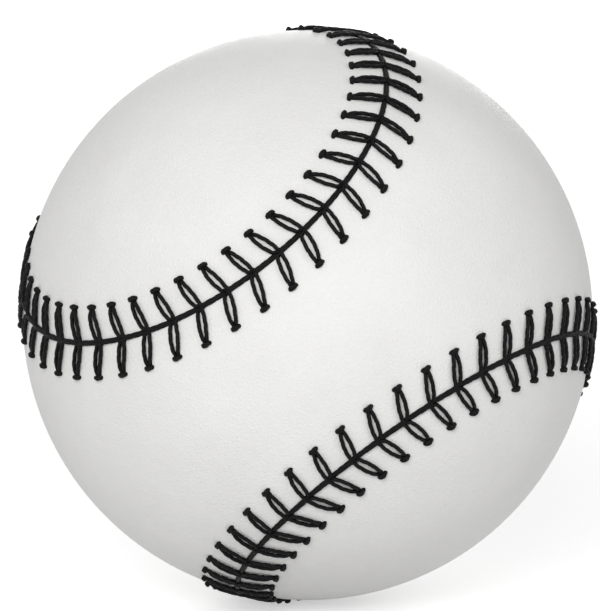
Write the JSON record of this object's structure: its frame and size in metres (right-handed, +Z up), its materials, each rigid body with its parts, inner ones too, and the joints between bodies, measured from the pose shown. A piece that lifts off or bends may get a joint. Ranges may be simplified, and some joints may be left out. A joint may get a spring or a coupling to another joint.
{
  "type": "baseball",
  "caption": "White leather baseball with black herringbone stitches, a cork and rubber core and wound yarn layers under a two-piece cover.",
  "frame": {"origin": "centre of the ball", "axes": "+Z up as the ball is drawn, -Y towards the viewer through the narrow waist of cover panel one, +Y through the narrow waist of cover panel two"},
  "size_m": [0.0756, 0.0742, 0.0756],
  "materials": {
    "cork": "matt",
    "black_rubber": "matt",
    "red_rubber": "matt",
    "grey_wool": "matt",
    "white_wool": "matt",
    "cotton_yarn": "matt",
    "white_leather": "satin",
    "black_thread": "waxed satin"
  },
  "bodies": {
    "root": {"cork_core": "cork", "inner_rubber_half_front": "black_rubber", "inner_rubber_half_back": "black_rubber", "rubber_washer": "red_rubber", "outer_rubber_half_front": "red_rubber", "outer_rubber_half_back": "red_rubber", "first_winding": "grey_wool", "second_winding": "white_wool", "third_winding": "grey_wool", "finishing_winding": "cotton_yarn", "cover_panel_one": "white_leather", "cover_panel_two": "white_leather", "stitch_thread_one": "black_thread", "stitch_thread_two": "black_thread"}
  },
  "joints": []
}
